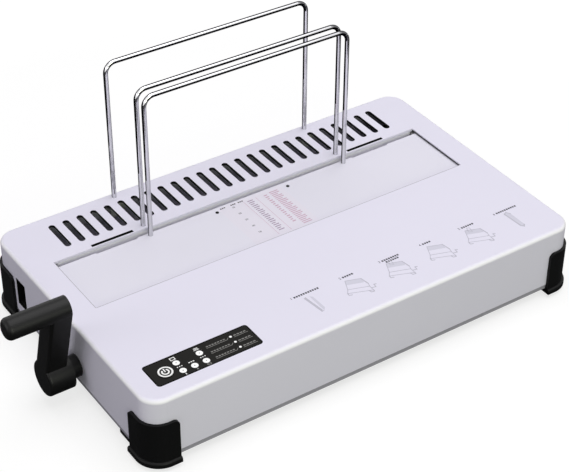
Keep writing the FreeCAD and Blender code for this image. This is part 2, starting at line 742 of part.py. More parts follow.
switch = box(switch_x - switch_side / 2, switch_x + switch_side / 2, switch_y - switch_side / 2,
             switch_y + switch_side / 2, board_top, board_top + switch_height)
nodes["button_switch"] = fuse(switch, rod_z(switch_x, switch_y, board_top, plunger_top, plunger_radius))
lamps = [rod_z(x, y, board_top, top_z, radius) for x, y, radius in lamp_places]
nodes["indicator_lamps"] = Part.makeCompound(lamps)
relay_x = (board_x0 + board_x1) / 2
relay_y = (board_y0 + board_y1) / 2
nodes["power_relay"] = box(relay_x - relay_size.x / 2, relay_x + relay_size.x / 2,
                           relay_y - relay_size.y / 2, relay_y + relay_size.y / 2,
                           board_under - relay_size.z, board_under)

# Mains inlet: a flanged body behind the wall, its socket and three blades
inlet_x0 = case_left + shell_wall
inlet_x1 = inlet_x0 + inlet_depth
inlet_mid_y = (inlet_y0 + inlet_y1) / 2
inlet_mid_z = (inlet_z + inlet_z1) / 2
flange = box(inlet_x0, inlet_x0 + inlet_flange_thickness,
             inlet_y0 - inlet_flange, inlet_y1 + inlet_flange,
             inlet_z - inlet_flange, inlet_z1 + inlet_flange)
half_y = socket_mouth_width / 2
half_z = socket_mouth_height / 2
body = box(inlet_x0, inlet_x1, inlet_mid_y - half_y - inlet_wall, inlet_mid_y + half_y + inlet_wall,
           inlet_mid_z - half_z - inlet_wall, inlet_mid_z + half_z + inlet_wall)
mouth_corners = [(-half_y, -half_z), (half_y, -half_z),
                 (half_y, half_z - socket_bevel), (half_y - socket_bevel, half_z),
                 (socket_bevel - half_y, half_z), (-half_y, half_z - socket_bevel)]
mouth_points = [(inlet_mid_y + y, inlet_mid_z + z) for y, z in mouth_corners]
mouth = prism_x(mouth_points, inlet_x0, inlet_x1 - inlet_wall)
blades = []
blade_side = pin_earth_shift / 2
for y, z in ((-blade_side, -pin_pitch / 2), (blade_side, 0), (-blade_side, pin_pitch / 2)):
    blade_y = inlet_mid_y + y
    blade_z = inlet_mid_z + z
    blades.append(box(inlet_x0 + pin_recess, inlet_x1 + pin_tail,
                      blade_y - pin_height / 2, blade_y + pin_height / 2,
                      blade_z - pin_thickness / 2, blade_z + pin_thickness / 2))
nodes["power_inlet"] = cut(fuse(flange, body), mouth, *blades)
nodes["inlet_blades"] = Part.makeCompound(blades)

os.makedirs("parts", exist_ok=True)
for name, shape in nodes.items():
    shape.exportStep("parts/" + name + ".step")
whole = Part.makeCompound(list(nodes.values())).optimalBoundingBox(False, False)
print("pieces", len(nodes), "solids", sum(len(s.Solids) for s in nodes.values()))
print("crank turn", round(crank_turn, 2))
print("box", round(whole.XMin, 2), round(whole.XMax, 2), round(whole.YMin, 2), round(whole.YMax, 2),
      round(whole.ZMin, 2), round(whole.ZMax, 2))
for name, shape in nodes.items():
    if not shape.isValid():
        print("not valid", name)
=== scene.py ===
import math

import bpy
import numpy as np
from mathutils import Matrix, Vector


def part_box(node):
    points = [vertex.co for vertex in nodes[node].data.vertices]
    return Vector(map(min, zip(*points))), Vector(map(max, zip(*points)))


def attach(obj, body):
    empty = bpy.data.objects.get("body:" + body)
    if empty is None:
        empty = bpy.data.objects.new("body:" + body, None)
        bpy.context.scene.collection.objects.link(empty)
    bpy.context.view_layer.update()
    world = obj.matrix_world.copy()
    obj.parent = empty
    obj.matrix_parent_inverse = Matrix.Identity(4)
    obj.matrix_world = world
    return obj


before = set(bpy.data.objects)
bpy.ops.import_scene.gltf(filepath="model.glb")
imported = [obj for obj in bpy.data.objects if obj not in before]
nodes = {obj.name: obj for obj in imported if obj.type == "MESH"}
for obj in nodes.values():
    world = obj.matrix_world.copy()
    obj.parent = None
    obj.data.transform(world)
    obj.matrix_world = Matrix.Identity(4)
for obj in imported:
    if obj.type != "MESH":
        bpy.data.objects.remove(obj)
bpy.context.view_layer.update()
scene = bpy.context.scene
scene.view_settings.view_transform = "Standard"
mm = 0.001
printSink = 0.04 * mm    # how far print reaches below the surface it lies on

shellLow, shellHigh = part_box("top_shell")
panelLow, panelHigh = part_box("control_panel")
buttonLow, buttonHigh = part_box("power_button")
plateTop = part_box("sliding_plate")[1][2]
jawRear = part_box("fixed_jaw")[1][1]
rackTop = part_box("rear_wire_rack")[1][2]
print("frame loaded:", len(nodes), "nodes")


# Mesh helpers: each shape is (points, faces), and a piece is several shapes put together

def addPiece(name, shapes, body, material):
    start = 0
    points = []
    faces = []
    for shapePoints, shapeFaces in shapes:
        points.append(np.asarray(shapePoints, float))
        faces += [[i + start for i in f] for f in shapeFaces]
        start += len(shapePoints)
    mesh = bpy.data.meshes.new(name)
    mesh.from_pydata(np.concatenate(points).tolist(), [], faces)
    mesh.update()
    piece = bpy.data.objects.new(name, mesh)
    scene.collection.objects.link(piece)
    piece.data.materials.append(material)
    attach(piece, body)


# Prism: an outline at two heights, one face on top, one below and a wall between them
def prism(outline, low, high):
    flat = np.asarray(outline, float)
    n = len(flat)
    points = np.concatenate([np.c_[flat, np.full(n, low)], np.c_[flat, np.full(n, high)]])
    i = np.arange(n)
    j = np.roll(i, -1)
    walls = np.c_[i, j, j + n, i + n].tolist()
    return points, walls + [list(range(n, 2 * n)), list(range(n - 1, -1, -1))]


# Circle of radius r about a centre: centre plus r times (cosine, sine) of the angle
def circle(centre, radius, sides):
    t = np.linspace(0, 2 * np.pi, sides, endpoint=False)
    return np.asarray(centre) + radius * np.c_[np.cos(t), np.sin(t)]


# Ribbon: a line widened by half its width to each side along the mean normal of its two neighbours
def ribbon(line, width, low, high, closed=False):
    leastLean = 0.5    # a sharp corner reaches out to twice the half width at most
    path = np.asarray(line, float)
    ahead = np.roll(path, -1, 0) - path
    behind = path - np.roll(path, 1, 0)
    if not closed:
        ahead[-1] = behind[-1]
        behind[0] = ahead[0]
    ahead /= np.linalg.norm(ahead, axis=1)[:, None]
    behind /= np.linalg.norm(behind, axis=1)[:, None]
    tangent = ahead + behind
    tangent /= np.linalg.norm(tangent, axis=1)[:, None]
    normal = np.c_[-tangent[:, 1], tangent[:, 0]]
    lean = (normal * np.c_[-ahead[:, 1], ahead[:, 0]]).sum(1)
    reach = width / 2 / np.clip(lean, leastLean, 1)
    left = path + normal * reach[:, None]
    right = path - normal * reach[:, None]
    n = len(path)
    lows = np.full(n, low)
    highs = np.full(n, high)
    points = np.concatenate([np.c_[left, lows], np.c_[right, lows],
                             np.c_[right, highs], np.c_[left, highs]])
    i = np.arange(n if closed else n - 1)
    j = (i + 1) % n
    sides = ((0, 1), (1, 2), (2, 3), (3, 0))
    quads = [np.c_[i + a * n, j + a * n, j + b * n, i + b * n] for a, b in sides]
    faces = np.concatenate(quads).tolist()
    if not closed:
        faces += [[3 * n, 2 * n, n, 0], [n - 1, 2 * n - 1, 3 * n - 1, 4 * n - 1]]
    return points, faces


def bar(x0, x1, y0, y1, low, high):
    return prism([(x0, y0), (x1, y0), (x1, y1), (x0, y1)], low, high)


# Rounded rectangle: four quarter circles joined by straight sides
def roundedOutline(x0, x1, y0, y1, radius, steps=6):
    t = np.linspace(0, np.pi / 2, steps)
    left, right, front, rear = x0 + radius, x1 - radius, y0 + radius, y1 - radius
    arcs = []
    for k, (x, y) in enumerate(((right, rear), (left, rear), (left, front), (right, front))):
        angle = t + k * np.pi / 2
        arcs.append(np.c_[x + radius * np.cos(angle), y + radius * np.sin(angle)])
    return np.concatenate(arcs)


# Numeral: plain figures set as text, made a mesh and laid flat at a height
def numeral(text, x, y, size, low, high):
    curve = bpy.data.curves.new("figure", "FONT")
    curve.body = text
    curve.size = size
    curve.align_x = "CENTER"
    curve.align_y = "CENTER"
    curve.extrude = (high - low) / 2
    curve.resolution_u = 3
    holder = bpy.data.objects.new("figure", curve)
    mesh = bpy.data.meshes.new_from_object(holder)
    points = np.empty(len(mesh.vertices) * 3)
    mesh.vertices.foreach_get("co", points)
    points = points.reshape(-1, 3) + np.array((x, y, (low + high) / 2))
    faces = [list(p.vertices) for p in mesh.polygons]
    bpy.data.meshes.remove(mesh)
    bpy.data.objects.remove(holder)
    bpy.data.curves.remove(curve)
    return points, faces


# Shader helpers: a value is a constant set on the socket or an output linked to it

def feed(tree, socket, value):
    if isinstance(value, bpy.types.NodeSocket):
        tree.links.new(value, socket)
    else:
        socket.default_value = value


def addNode(tree, kind, values=None, **settings):
    node = tree.nodes.new(kind)
    for key, value in settings.items():
        setattr(node, key, value)
    for label, value in (values or {}).items():
        feed(tree, node.inputs[label], value)
    return node


def mathNode(tree, operation, *values, clamp=False):
    node = addNode(tree, "ShaderNodeMath", operation=operation, use_clamp=clamp)
    for socket, value in zip(node.inputs, values):
        feed(tree, socket, value)
    return node.outputs[0]


def objectPlace(tree):
    return addNode(tree, "ShaderNodeTexCoord").outputs["Object"]


def faceNormal(tree):
    return addNode(tree, "ShaderNodeNewGeometry").outputs["Normal"]


def axes(tree, vector):
    return addNode(tree, "ShaderNodeSeparateXYZ", {0: vector}).outputs


def dotProduct(tree, a, b):
    node = addNode(tree, "ShaderNodeVectorMath", {0: a, 1: b}, operation="DOT_PRODUCT")
    return node.outputs["Value"]


def noise(tree, place, scale, detail):
    values = {"Vector": place, "Scale": scale, "Detail": detail}
    return addNode(tree, "ShaderNodeTexNoise", values).outputs["Fac"]


# Eased: a smooth step from low to high while the value goes from start to end
def eased(tree, value, start, end, low=0.0, high=1.0):
    values = {"Value": value, "From Min": start, "From Max": end, "To Min": low, "To Max": high}
    node = addNode(tree, "ShaderNodeMapRange", values, interpolation_type="SMOOTHSTEP")
    return node.outputs["Result"]


# Between: 1 while the value lies between two limits, 0 outside them
def between(tree, value, low, high):
    above = mathNode(tree, "GREATER_THAN", value, low)
    below = mathNode(tree, "LESS_THAN", value, high)
    return mathNode(tree, "MULTIPLY", above, below)


# Layer: one colour over another where the mask is 1
def layer(tree, under, over, mask):
    values = {"A": under, "B": over, "Factor": mask}
    return addNode(tree, "ShaderNodeMix", values, data_type="RGBA").outputs["Result"]


# Seen: 1 for rays from the camera and for mirrored or refracted ones, 0 for the others
def seenRays(tree):
    rays = addNode(tree, "ShaderNodeLightPath").outputs
    seen = mathNode(tree, "MAXIMUM", rays["Is Camera Ray"], rays["Is Glossy Ray"])
    return mathNode(tree, "MAXIMUM", seen, rays["Is Transmission Ray"])


# Shared shader groups

def newGroup(name, inputs, outputs=("Mask",)):
    group = bpy.data.node_groups.new(name, "ShaderNodeTree")
    for label, value in inputs.items():
        socket = group.interface.new_socket(label, in_out="INPUT", socket_type="NodeSocketFloat")
        socket.default_value = value
    for label in outputs:
        group.interface.new_socket(label, in_out="OUTPUT", socket_type="NodeSocketFloat")
    inside = group.nodes.new("NodeGroupInput").outputs
    return group, inside, group.nodes.new("NodeGroupOutput").inputs


def useGroup(tree, group, *values):
    node = addNode(tree, "ShaderNodeGroup", node_tree=group)
    for socket, value in zip(node.inputs, values):
        socket.default_value = value
    return node.outputs


# Grain: fine noise gives the height, broad noise gives slow changes of tone
def makeGrainGroup():
    inputs = {"Scale": 900.0, "Stretch": 1.0}
    group, inside, outside = newGroup("mouldedGrain", inputs, ("Height", "Tone"))
    place = objectPlace(group)
    squeeze = addNode(group, "ShaderNodeCombineXYZ", {"X": inside["Stretch"], "Y": 1.0, "Z": 1.0})
    scaled = addNode(group, "ShaderNodeVectorMath", {0: place, 1: squeeze.outputs[0]},
                     operation="MULTIPLY")
    feed(group, outside["Height"], noise(group, scaled.outputs[0], inside["Scale"], detail=3.0))
    feed(group, outside["Tone"], noise(group, place, scale=14.0, detail=4.0))
    return group


# Edge wear: where a rounded normal leaves the true normal, broken up by noise
def makeEdgeGroup():
    group, inside, outside = newGroup("edgeWear", {"Radius": 0.0008, "Gain": 6.0})
    rounded = addNode(group, "ShaderNodeBevel", {"Radius": inside["Radius"]}, samples=4)
    straight = dotProduct(group, rounded.outputs[0], faceNormal(group))
    turned = mathNode(group, "SUBTRACT", 1.0, straight)
    raised = mathNode(group, "MULTIPLY", turned, inside["Gain"], clamp=True)
    patches = noise(group, objectPlace(group), scale=130.0, detail=5.0)
    feed(group, outside["Mask"], mathNode(group, "MULTIPLY", raised, patches, clamp=True))
    return group


# Dust: more on faces that look up, in the patches where noise passes a threshold
def makeDustGroup():
    threshold = 0.42
    group, inside, outside = newGroup("settledDust", {"Amount": 0.2})
    upward = mathNode(group, "MULTIPLY", axes(group, faceNormal(group))["Z"], 1.0, clamp=True)
    cloud = noise(group, objectPlace(group), scale=42.0, detail=6.0)
    patches = mathNode(group, "SUBTRACT", cloud, threshold, clamp=True)
    settled = mathNode(group, "MULTIPLY", upward, patches, clamp=True)
    dusty = mathNode(group, "MULTIPLY", settled, inside["Amount"], clamp=True)
    feed(group, outside["Mask"], dusty)
    return group


# Painted highlight on rounded rims: four times z times (1 - z) of the normal, 1 half way between upright
# and level
def makeHighlightGroup():
    group, inside, outside = newGroup("roundedRimHighlight", {"Gain": 1.0})
    upright = axes(group, faceNormal(group))["Z"]
    level = mathNode(group, "SUBTRACT", 1.0, upright)
    product = mathNode(group, "MULTIPLY", upright, level)
    slope = mathNode(group, "MULTIPLY", product, 4.0, clamp=True)
    feed(group, outside["Mask"], mathNode(group, "MULTIPLY", slope, inside["Gain"], clamp=True))
    return group


# Depth mask: 1 where the place along Y is past a limit, 0 before it
def makePastGroup():
    group, inside, outside = newGroup("pastLimit", {"Limit": 0.0})
    depth = axes(group, objectPlace(group))["Y"]
    feed(group, outside["Mask"], mathNode(group, "GREATER_THAN", depth, inside["Limit"]))
    return group


# Side mask: how far the normal turns toward a direction, eased, in a band of heights
def makeSideGroup():
    inputs = {"X": 0.0, "Y": 0.0, "Z": -1.0, "Start": 0.2, "End": 0.4, "Bottom": -9.0, "Top": 9.0}
    group, inside, outside = newGroup("turnedToward", inputs)
    aim = addNode(group, "ShaderNodeCombineXYZ", {axis: inside[axis] for axis in "XYZ"})
    turned = dotProduct(group, faceNormal(group), aim.outputs[0])
    toward = eased(group, turned, inside["Start"], inside["End"])
    height = axes(group, objectPlace(group))["Z"]
    band = between(group, height, inside["Bottom"], inside["Top"])
    feed(group, outside["Mask"], mathNode(group, "MULTIPLY", toward, band))
    return group


# Painted shade in vents and slots: 1 on steep faces whose place in X and Y is inside a field, 0
# elsewhere
def makeCutShadeGroup():
    steepBelow = 0.5    # Z of the normal under which a face counts as steep
    inputs = {"Low X": -0.1, "High X": 0.1, "Low Y": 0.0, "High Y": 0.1}
    group, inside, outside = newGroup("cutWallShade", inputs)
    place = axes(group, objectPlace(group))
    acrossX = between(group, place["X"], inside["Low X"], inside["High X"])
    acrossY = between(group, place["Y"], inside["Low Y"], inside["High Y"])
    field = mathNode(group, "MULTIPLY", acrossX, acrossY)
    steep = mathNode(group, "LESS_THAN", axes(group, faceNormal(group))["Z"], steepBelow)
    feed(group, outside["Mask"], mathNode(group, "MULTIPLY", field, steep))
    return group


grainGroup = makeGrainGroup()
highlightGroup = makeHighlightGroup()
pastGroup = makePastGroup()
sideGroup = makeSideGroup()
cutShadeGroup = makeCutShadeGroup()
edgeGroup = makeEdgeGroup()
dustGroup = makeDustGroup()

# Values that all finishes share
finishLook = {
    "wearGain": 8.0,
    "dustColor": (0.62, 0.60, 0.57, 1),
    # painted shade: black for the inside of vents and slots and for the jaw's tongues
    "recessShadeColor": (0.01, 0.01, 0.01, 1),
    # painted shade at chrome edges that turn away
    "edgeShadeColor": (0.06, 0.06, 0.065, 1),
    "edgeTurn": (0.12, 0.24),
    "upperTurn": (0.25, 0.5),
    "lowerShare": 0.3,
    # painted dark reflections on chrome
    "reflectionDarkColor": (0.01, 0.01, 0.012, 1),
    "leastRough": 0.02,
    "bumpDepth": 0.0003,
}


# One finish: grain drives bump, roughness and tone; the other masks tint what they reach
def makeFinish(name, color, rough=0.5, roughSpread=0.1, metal=0.0, specular=0.5,
               grain=900.0, stretch=1.0, bump=0.1, tone=0.06,
               wear=0.0, wearColor=(0.5, 0.5, 0.5), wearRadius=0.0008, dust=0.0,
               rimHighlight=0.0, highlightColor=(0.9, 0.9, 0.9), shadePastY=None, edgeShade=0.0,
               paintedReflections=(), cutShadeField=None, glow=0.0):
    look = finishLook
    material = bpy.data.materials.new(name)
    material.use_nodes = True
    tree = material.node_tree
    sockets = tree.nodes["Principled BSDF"].inputs
    sockets["Metallic"].default_value = metal
    sockets["Specular IOR Level"].default_value = specular
    texture = useGroup(tree, grainGroup, grain, stretch)
    darker = (*[c * (1 - tone) for c in color], 1)
    lighter = (*[min(c * (1 + tone), 1) for c in color], 1)
    tint = layer(tree, darker, lighter, texture["Tone"])
    if wear:
        edges = useGroup(tree, edgeGroup, wearRadius, look["wearGain"])["Mask"]
        tint = layer(tree, tint, (*wearColor, 1),
                     mathNode(tree, "MULTIPLY", edges, wear, clamp=True))
    # painted highlight: rounded edges lightened toward the highlight colour
    if rimHighlight:
        tint = layer(tree, tint, (*highlightColor, 1), useGroup(tree, highlightGroup, rimHighlight)["Mask"])
    # painted shade: black past a depth along Y, where a part stands in a dark slot
    if shadePastY is not None:
        tint = layer(tree, tint, look["recessShadeColor"], useGroup(tree, pastGroup, shadePastY)["Mask"])
    if dust:
        tint = layer(tree, tint, look["dustColor"], useGroup(tree, dustGroup, dust)["Mask"])
    if edgeShade:    # painted shade and painted reflection: darker where a round surface turns away, less so on its lower side
        facing = addNode(tree, "ShaderNodeLayerWeight", {"Blend": 0.5}).outputs["Facing"]
        rising = eased(tree, facing, *look["edgeTurn"], high=edgeShade)
        upper = useGroup(tree, sideGroup, 0.0, 0.0, 1.0, *look["upperTurn"])["Mask"]
        least = look["lowerShare"]
        share = mathNode(tree, "MULTIPLY_ADD", upper, 1 - least, least)
        tint = layer(tree, tint, look["edgeShadeColor"], mathNode(tree, "MULTIPLY", rising, share))
    # painted reflections: dark where the normal turns toward each listed direction
    for side in paintedReflections:
        tint = layer(tree, tint, look["reflectionDarkColor"], useGroup(tree, sideGroup, *side)["Mask"])
    # the painted reflections also tint the metal's specular edge
    if paintedReflections:
        feed(tree, sockets["Specular Tint"], tint)
    # painted shade: black on steep walls inside a field, the inside of vents and slots
    if cutShadeField:
        tint = layer(tree, tint, look["recessShadeColor"], useGroup(tree, cutShadeGroup, *cutShadeField)["Mask"])
    feed(tree, sockets["Base Color"], tint)
    both = mathNode(tree, "ADD", mathNode(tree, "MULTIPLY", texture["Height"], 0.5),
                    mathNode(tree, "MULTIPLY", texture["Tone"], 0.5))
    spread = addNode(tree, "ShaderNodeMapRange", {
        "Value": both,
        "To Min": max(rough - roughSpread, look["leastRough"]),
        "To Max": min(rough + roughSpread, 1.0),
    })
    feed(tree, sockets["Roughness"], spread.outputs["Result"])
    relief = addNode(tree, "ShaderNodeBump", {
        "Strength": bump,
        "Distance": look["bumpDepth"],
        "Height": texture["Height"],
    })
    feed(tree, sockets["Normal"], relief.outputs["Normal"])
    if glow:
        sockets["Emission Strength"].default_value = glow
        sockets["Emission Color"].default_value = (*color, 1)
    return material


# Places where a finish changes, in millimetres
finishPlaces = {
    "deckEnds": 12,         # field of painted shade in vents and slots, from the case's ends
    "deckFront": 62.9,      # its front limit, from the case's rear
    "deckRear": 4,          # its rear limit, from the case's rear
    "tongueShade": 15.6,    # painted shade on the rear of the fixed jaw, where its tongues stand in the deck slots; measured from its rear
    "railDepth": 4.4,       # top rails of the racks, from their highest point
    "legMiddle": 55,        # height above the case where the legs' painted dark reflection grows thinner
}
deckShadeField = (shellLow[0] + finishPlaces["deckEnds"] * mm, shellHigh[0] - finishPlaces["deckEnds"] * mm,
             shellHigh[1] - finishPlaces["deckFront"] * mm, shellHigh[1] - finishPlaces["deckRear"] * mm)
railLow = rackTop - finishPlaces["railDepth"] * mm
legMiddle = shellHigh[2] + finishPlaces["legMiddle"] * mm
farOff = 9.0

# Painted reflections: dark lines painted on the chrome where it would mirror dark surroundings; each has
# a direction, the limits of the turn toward it, a band of heights
chromeReflections = (
    (0.0, 0.0, -1.0, 0.01, 0.07),                           # undersides
    (0.0, 0.0, -1.0, -0.45, -0.33, railLow, farOff),        # lower part of the rails
    (0.0, 0.07, 0.998, 0.945, 0.965, railLow, farOff),      # a line along the top of the rails
    (-1.0, 0.05, 0.0, 0.7, 0.8, legMiddle, railLow),        # left of the legs, upper half
    (-0.974, 0.22, 0.0, 0.87, 0.93, -farOff, legMiddle),    # thinner on the lower half
)

# Finishes, one set of values for each
ink = dict(roughSpread=0.05, grain=3000, bump=0.03)
finishes = {
    # caseWhite: painted highlight on its rounded edges
    "caseWhite": dict(color=(0.775, 0.755, 0.875), rough=0.42, roughSpread=0.07, specular=0.3,
                      grain=1400, bump=0.05, tone=0.012, dust=0.02,
                      # painted shade on the walls of the deck's vents and slots comes from the cut field
                      rimHighlight=0.9, highlightColor=(0.95, 0.94, 0.98), cutShadeField=deckShadeField),
    "plateWhite": dict(color=(0.765, 0.75, 0.845), rough=0.46, roughSpread=0.08, specular=0.3,
                       grain=1700, bump=0.07, tone=0.014, dust=0.02,
                       wear=0.12, wearColor=(0.5, 0.5, 0.54), wearRadius=0.0005),
    "trayGrey": dict(color=(0.37, 0.36, 0.42), rough=0.5, roughSpread=0.1,
                     grain=1100, bump=0.12, tone=0.06, wear=0.3, wearColor=(0.5, 0.5, 0.5)),
    "guardBlack": dict(color=(0.005, 0.005, 0.0055), rough=0.42, roughSpread=0.1, specular=0.14,
                       grain=2200, bump=0.16, tone=0.2, dust=0.01,
                       wear=0.25, wearColor=(0.035, 0.035, 0.037)),
    "crankBlack": dict(color=(0.0055, 0.0055, 0.0058), rough=0.38, roughSpread=0.08, specular=0.19,
                       grain=2000, bump=0.12, tone=0.2, dust=0.008,
                       wear=0.15, wearColor=(0.03, 0.03, 0.03)),
    "footRubber": dict(color=(0.02, 0.02, 0.02), rough=0.8, roughSpread=0.1,
                       grain=1600, bump=0.3, tone=0.2, dust=0.2),
    # wireChrome: painted shade at turned-away edges and painted dark reflections
    "wireChrome": dict(color=(0.84, 0.84, 0.86), rough=0.08, roughSpread=0.03, metal=1.0,
                       grain=700, stretch=0.2, bump=0.02, tone=0.03,
                       edgeShade=0.9, paintedReflections=chromeReflections),
    # jawGrey: painted shade, black on the rear of the jaw where its tongues stand in the deck slots
    "jawGrey": dict(color=(0.85, 0.84, 0.89), rough=0.45, roughSpread=0.1,
                    grain=1500, bump=0.08, tone=0.03,
                    shadePastY=jawRear - finishPlaces["tongueShade"] * mm),
    "heaterAlloy": dict(color=(0.62, 0.62, 0.63), rough=0.34, roughSpread=0.12, metal=1.0,
                        grain=900, stretch=0.02, bump=0.2, tone=0.1),
    "zincSteel": dict(color=(0.58, 0.59, 0.60), rough=0.32, roughSpread=0.12, metal=1.0,
                      grain=420, bump=0.1, tone=0.12, wear=0.3, wearColor=(0.8, 0.8, 0.8)),
    "blackSteel": dict(color=(0.06, 0.06, 0.065), rough=0.4, roughSpread=0.12, metal=1.0,
                       grain=500, bump=0.1, tone=0.2, wear=0.4, wearColor=(0.35, 0.35, 0.35)),
    "bronze": dict(color=(0.50, 0.34, 0.17), rough=0.42, roughSpread=0.12, metal=1.0,
                   grain=1300, bump=0.25, tone=0.15),
    "acetal": dict(color=(0.78, 0.78, 0.76), rough=0.4, roughSpread=0.06,
                   grain=900, bump=0.04, tone=0.03),
    "mica": dict(color=(0.42, 0.34, 0.24), rough=0.5, roughSpread=0.15,
                 grain=260, bump=0.2, tone=0.2),
    "panelFilm": dict(color=(0.007, 0.0064, 0.0056), rough=0.36, roughSpread=0.06, specular=0.1,
                      grain=2600, bump=0.05, tone=0.15, dust=0.003),
    "borderBlack": dict(color=(0.002, 0.002, 0.002), rough=0.6, roughSpread=0.05, specular=0.03,
                        grain=2600, bump=0.03, tone=0.1),
    "buttonBlack": dict(color=(0.008, 0.008, 0.008), rough=0.3, roughSpread=0.05, specular=0.2,
                        grain=1800, bump=0.04, tone=0.15),
    "lampWhite": dict(color=(0.92, 0.92, 0.92), rough=0.25, roughSpread=0.05,
                      grain=900, bump=0.02, tone=0.03, glow=0.12),
    "printWhite": dict(ink, color=(0.90, 0.90, 0.90), rough=0.5, tone=0.03),
    "printGrey": dict(ink, color=(0.20, 0.195, 0.19), rough=0.5, tone=0.1),
    "printPale": dict(ink, color=(0.5, 0.49, 0.57), rough=0.55, tone=0.04),
    "printShade": dict(ink, color=(0.62, 0.61, 0.71), rough=0.55, tone=0.04),
    "printDark": dict(ink, color=(0.022, 0.022, 0.034), rough=0.55, tone=0.1),
    "printRed": dict(ink, color=(0.56, 0.36, 0.48), rough=0.55, tone=0.04),
    "printMauve": dict(ink, color=(0.36, 0.28, 0.39), rough=0.55, tone=0.04),
    "labelPink": dict(color=(0.775, 0.745, 0.838), rough=0.5, roughSpread=0.05, specular=0.3,
                      grain=2400, bump=0.04, tone=0.012),
    # painted shade strip for the window's right wall
    "wallShadeDark": dict(color=(0.03, 0.03, 0.033), rough=0.7, roughSpread=0.1,
                     grain=2000, bump=0.2, tone=0.2),
    # painted shade line for the window's front and left edges
    "edgeShadeGrey": dict(color=(0.42, 0.41, 0.46), rough=0.55, roughSpread=0.05,
                     grain=2600, bump=0.05, tone=0.05),
    "boardGreen": dict(color=(0.02, 0.13, 0.05), rough=0.35, roughSpread=0.1,
                       grain=300, bump=0.1, tone=0.3),
    "contactBrass": dict(color=(0.70, 0.55, 0.28), rough=0.28, roughSpread=0.1, metal=1.0,
                         grain=600, bump=0.05, tone=0.08),
}
made = {name: makeFinish(name, **values) for name, values in finishes.items()}

nodeFinishes = {
    "caseWhite": ("top_shell",),
    "plateWhite": ("sliding_plate",),
    "trayGrey": ("base_tray",),
    "guardBlack": ("corner_guard_front_left", "corner_guard_front_right", "corner_guard_rear_left",
                   "corner_guard_rear_right", "power_inlet", "crank_bush"),
    "crankBlack": ("crank_handle",),
    "footRubber": ("foot_pads",),
    "wireChrome": ("front_wire_rack", "middle_wire_rack", "rear_wire_rack"),
    "jawGrey": ("fixed_jaw",),
    "heaterAlloy": ("heating_plate",),
    "zincSteel": ("heater_pillars", "heater_screws", "jaw_screws", "bracket_screws", "board_screws",
                  "left_bearing_bracket", "right_bearing_bracket", "drive_shaft", "left_pinion",
                  "right_pinion", "left_rack_bar", "right_rack_bar", "bush_nut"),
    "blackSteel": ("case_screws", "crank_set_screw", "shaft_clips"),
    "bronze": ("shaft_bearings", "board_standoffs"),
    "acetal": ("left_guide_rail", "right_guide_rail", "front_rack_sockets", "deck_rack_sockets"),
    "mica": ("heater_element",),
    "panelFilm": ("control_panel",),
    "buttonBlack": ("power_button", "button_switch", "power_relay", "thermostat"),
    "lampWhite": ("indicator_lamps",),
    "boardGreen": ("control_board",),
    "contactBrass": ("inlet_blades",),
}
for finish, names in nodeFinishes.items():
    for name in names:
        slots = nodes[name].data.materials
        slots.clear()
        slots.append(made[finish])
print("finishes on", sum(len(n) for n in nodeFinishes.values()), "nodes")


# Print is placed in millimetres from the case's front left corner

def onCase(x, y):
    return shellLow[0] + x * mm, shellLow[1] + y * mm


def casePoints(pairs, x=0.0, y=0.0):
    return [onCase(x + a, y + b) for a, b in pairs]


def caseBar(x0, x1, y0, y1, low, high):
    a, b = onCase(x0, y0), onCase(x1, y1)
    return bar(a[0], b[0], a[1], b[1], low, high)


# Row of equal bars, each one pitch to the right of the last
def barRow(count, x, length, pitch, y0, y1, low, high):
    lefts = [x + pitch * k for k in range(count)]
    return [caseBar(left, left + length, y0, y1, low, high) for left in lefts]


# Panel: marks are offsets from a lamp, notes are offsets from a pilot lamp or the notes' left end
panelPrint = {
    "lift": 0.05,
    "borderInset": 0.5,
    "borderWidth": 0.9,
    "borderCorner": 2.2,
    "lampColumns": (44.2, 54.8, 65.4),
    "lampRows": (22.3, 32.9),
    "lampDot": 0.5,
    "page": ((-2.1, 4.2), (1.7, 4.2), (1.7, 7.0), (-2.1, 7.0)),
    "pageLine": 0.7,
    "stack": ((2.4, 4.2, 4.75), (2.1, 5.3, 5.85), (1.8, 6.4, 6.95)),    # half length, low and high
    "dotPlaces": (-1.9, 0.0, 1.9),
    "dotRise": 5.3,
    "dotRadius": 0.55,
    "dashes": (3, -2.6, 1.3, 1.9),    # count, start, length and pitch
    "dashBand": (4.7, 5.7),
    "stem": (-0.3, 0.4, -5.8, -3.6),
    "beadDrop": 4.6,
    "beadRadius": 0.8,
    "slot": ((-1.6, -5.4), (1.6, -5.4), (1.6, -3.9), (-1.6, -3.9)),
    "slotLine": 0.5,
    "pilotX": 96.4,
    "pilotRows": (21.5, 28.9, 36.3),
    "noteLeft": 73.0,
    "noteRight": 111.6,
    "noteLine": 0.42,
    "noteDrop": 1.9,
    "hook": ((-4.2, -1.9), (-2.4, -0.1)),
    "noteGap": 2.2,
    "leftWords": (7, 0.6, 1.7, 2.6),
    "rightWords": (4, 2.8, 2.2, 3.0),
    "wordBand": (-0.6, 0.5),
}


